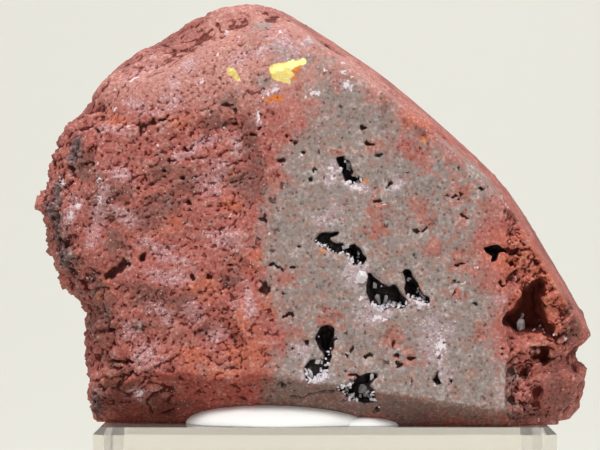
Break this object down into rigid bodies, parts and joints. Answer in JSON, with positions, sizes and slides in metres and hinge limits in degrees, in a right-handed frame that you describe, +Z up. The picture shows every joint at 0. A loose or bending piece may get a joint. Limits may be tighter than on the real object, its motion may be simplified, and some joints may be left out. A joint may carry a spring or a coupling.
{
  "type": "cuprite specimen on a clear display block",
  "caption": "Piece of cuprite with a polished front face, rough red sides and small crystal-lined hollows, standing on white putty on a clear square block.",
  "frame": {"origin": "centre of the clear block's flat underside", "axes": "+Z up, the stone's polished face looks along -Y, +X to the right as seen from the front"},
  "size_m": [0.0393, 0.032, 0.0418],
  "materials": {
    "cuprite": "sawn and polished grey-brown front, granular brick-red rough sides, small native copper patches",
    "vug_crystals": "small glassy white to lilac crystals on a dark lining",
    "white_putty": "soft matt white mounting putty",
    "clear_acrylic": "clear polished acrylic"
  },
  "bodies": {
    "root": {"stone": "cuprite", "vug_crystals_upper": "vug_crystals", "vug_crystals_olive": "vug_crystals", "vug_crystals_middle": "vug_crystals", "vug_crystals_right": "vug_crystals", "vug_crystals_lower": "vug_crystals", "vug_crystals_bottom": "vug_crystals", "cavity_crystals": "vug_crystals", "putty": "white_putty", "clear_block": "clear_acrylic"}
  },
  "joints": []
}
